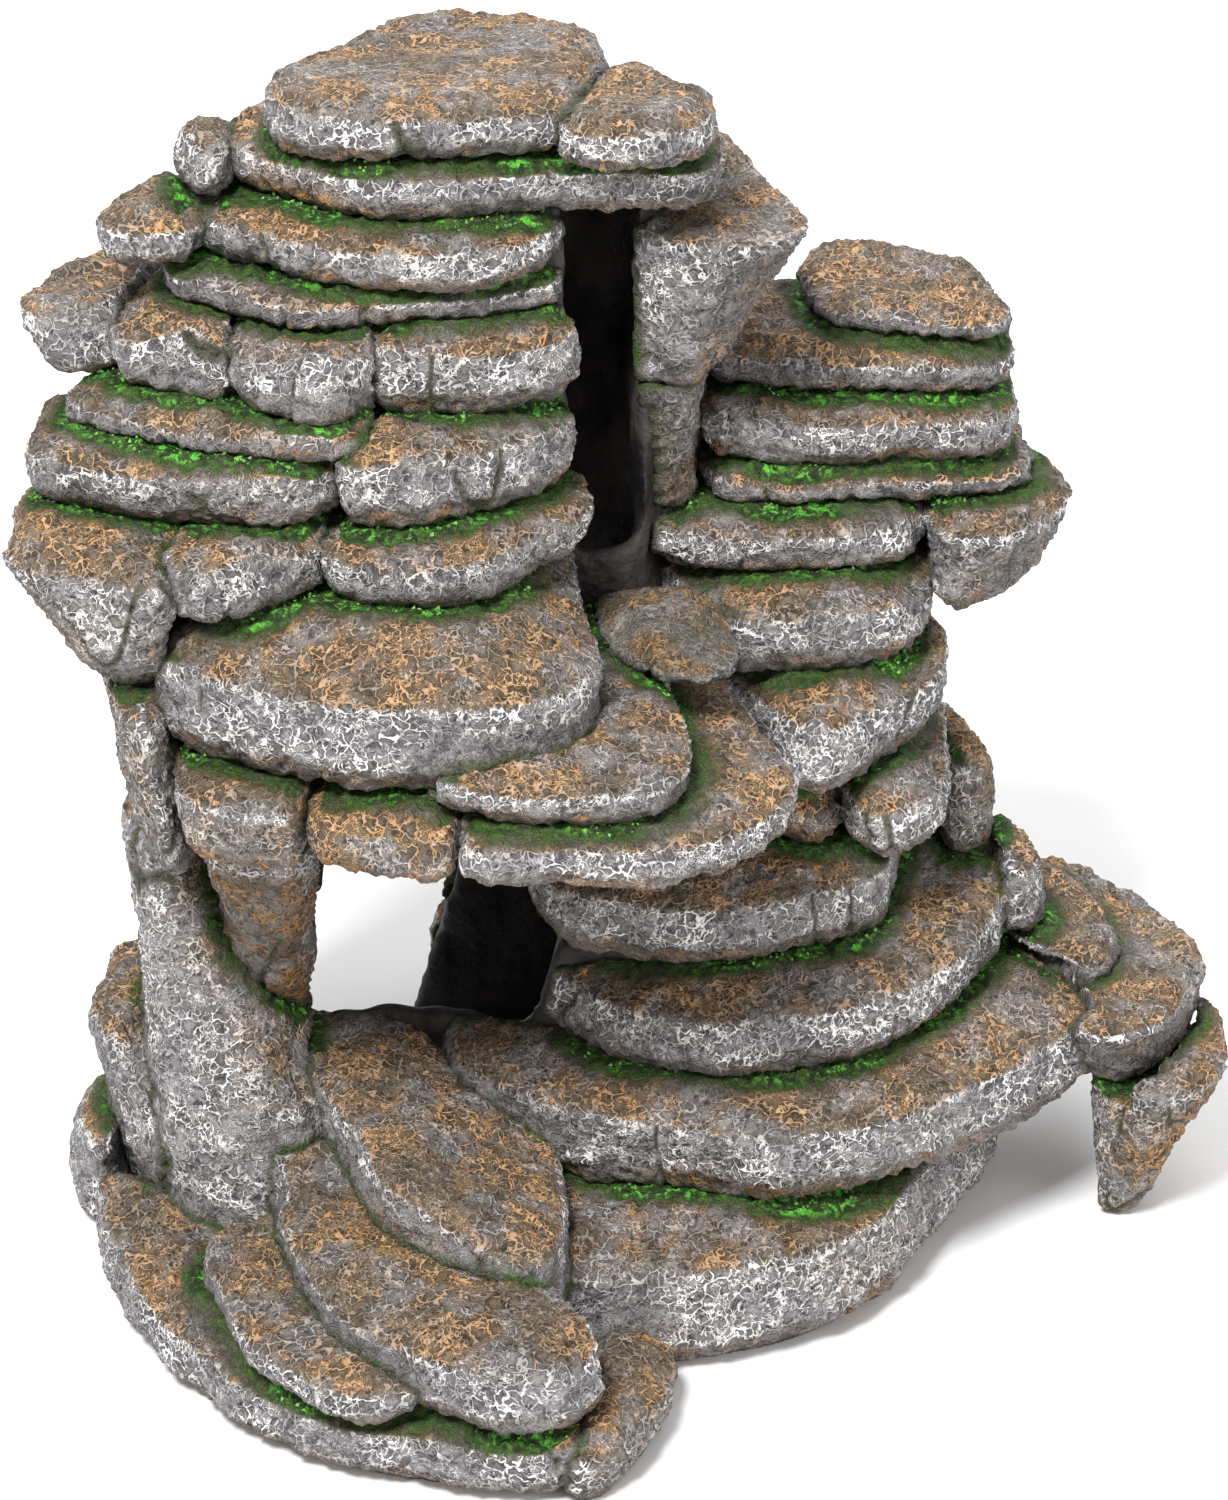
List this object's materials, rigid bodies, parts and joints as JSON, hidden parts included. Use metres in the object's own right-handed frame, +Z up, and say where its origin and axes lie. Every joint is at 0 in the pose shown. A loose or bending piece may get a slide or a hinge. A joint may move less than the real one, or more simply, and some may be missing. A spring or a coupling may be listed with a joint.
{
  "type": "aquarium cave ornament",
  "caption": "Hollow cast-resin rock tower of stacked slate slabs, with a tall cave mouth, front and rear arches and a spiral of mossy ledges.",
  "frame": {"origin": "middle of the bottom of the bounding box, on the plane the ornament stands on", "axes": "+Z up, -Y towards the front with the cave mouth and the ledges, +X to the right seen from the front"},
  "size_m": [0.3051, 0.2574, 0.3],
  "materials": {
    "rock_grey": "painted cast resin, matt, white dry brush on the ridges and an ochre wash",
    "rock_ochre": "painted cast resin, matt, strong ochre wash",
    "cave_inner": "bare cast resin inside the cave, dark grey, matt",
    "moss_flock": "green nylon flock glued along the crevices"
  },
  "bodies": {
    "root": {"cap_slab": "rock_grey", "cap_right_slab": "rock_grey", "lintel_left_stone": "rock_grey", "lintel_slab": "rock_grey", "brow_left_stone": "rock_grey", "brow_slab": "rock_grey", "sliver_slab": "rock_grey", "left_ear_stone": "rock_grey", "shoulder_left_stone": "rock_grey", "shoulder_slab": "rock_grey", "shoulder_right_slab": "rock_grey", "wafer_slab": "rock_grey", "chest_slab": "rock_grey", "chest_right_slab": "rock_grey", "waist_left_boulder": "rock_grey", "waist_slab": "rock_grey", "waist_right_slab": "rock_grey", "balcony_boulder": "rock_grey", "cave_mouth_pillar": "rock_ochre", "pillar_head_stone": "rock_grey", "stack_crown_slab": "rock_grey", "stack_second_slab": "rock_grey", "stack_third_slab": "rock_grey", "stack_fourth_slab": "rock_grey", "stack_fifth_slab": "rock_grey", "stack_fifth_boulder": "rock_grey", "stack_sixth_slab": "rock_grey", "stack_seventh_slab": "rock_grey", "stack_eighth_slab": "rock_grey", "stack_eighth_stone": "rock_ochre", "stack_rear_stone": "rock_ochre", "ledge_two_ear": "rock_grey", "threshold_stone": "rock_grey", "upper_stair": "rock_grey", "middle_stair": "rock_grey", "bridge_slab": "rock_ochre", "ledge_one": "rock_grey", "ledge_two": "rock_grey", "ledge_three": "rock_grey", "ledge_four_left": "rock_grey", "ledge_four_right": "rock_grey", "arm_inner_slab": "rock_grey", "arm_outer_slab": "rock_grey", "arm_leg": "rock_ochre", "column_head": "rock_ochre", "column": "rock_ochre", "neck_boulder": "rock_ochre", "tall_petal": "rock_grey", "short_petal": "rock_grey", "left_lump": "rock_grey", "base_crescent_low": "rock_grey", "base_crescent_middle": "rock_grey", "base_crescent_high": "rock_grey", "base_front_stone": "rock_ochre", "rear_left_column": "rock_grey", "rear_arch_lintel": "rock_ochre", "rear_middle_stone": "rock_grey", "rear_left_stone": "rock_grey", "loft_lining": "cave_inner", "grotto_lining": "cave_inner"}
  },
  "joints": []
}
